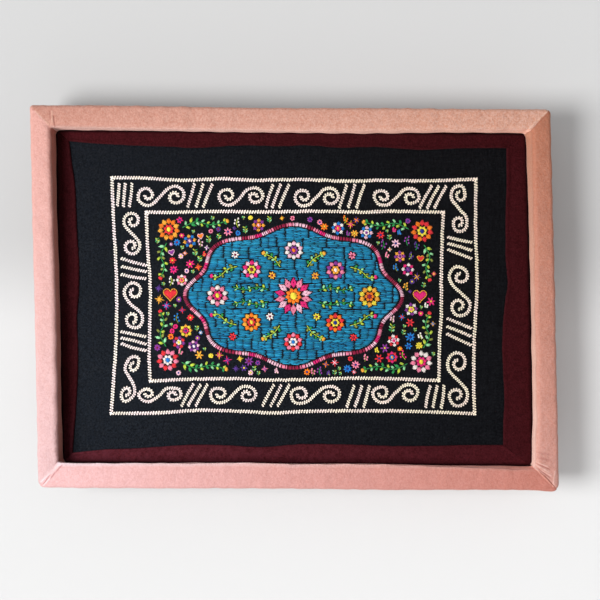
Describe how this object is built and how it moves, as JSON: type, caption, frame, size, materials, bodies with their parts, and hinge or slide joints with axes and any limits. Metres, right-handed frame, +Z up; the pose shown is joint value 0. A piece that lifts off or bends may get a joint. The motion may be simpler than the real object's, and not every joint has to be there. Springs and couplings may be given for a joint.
{
  "type": "embroidered wall hanging in a velvet-covered frame",
  "caption": "Wall hanging: dark cloth embroidered in chain and satin stitch, edged with folded maroon strips and held in the rebate of a padded, velvet-covered frame.",
  "frame": {"origin": "middle of the top rail's flat back face, where the hanging meets the wall", "axes": "+X to the right as seen from the front, +Y into the wall, +Z up; the embroidered front faces -Y"},
  "size_m": [0.5309, 0.028, 0.3819],
  "materials": {
    "rose_velvet": "short-pile dusty-rose velvet, matt with a soft sheen and a brushed, mottled nap",
    "maroon_velvet": "deep maroon short-pile velvet, folded at its inner edge",
    "black_cloth": "matt black plain-weave wool cloth",
    "cream_yarn": "cream two-ply wool yarn in chain stitch, in places a little pinkish",
    "teal_yarn": "teal wool yarn in rows of long flat stitches",
    "coloured_yarn": "bright wool yarns in many colours, in chain, straight and satin stitches"
  },
  "bodies": {
    "root": {"rail_top": "rose_velvet", "rail_bottom": "rose_velvet", "rail_left": "rose_velvet", "rail_right": "rose_velvet", "strip_top": "maroon_velvet", "strip_bottom": "maroon_velvet", "strip_left": "maroon_velvet", "strip_right": "maroon_velvet", "ground_cloth": "black_cloth"}
  },
  "joints": []
}
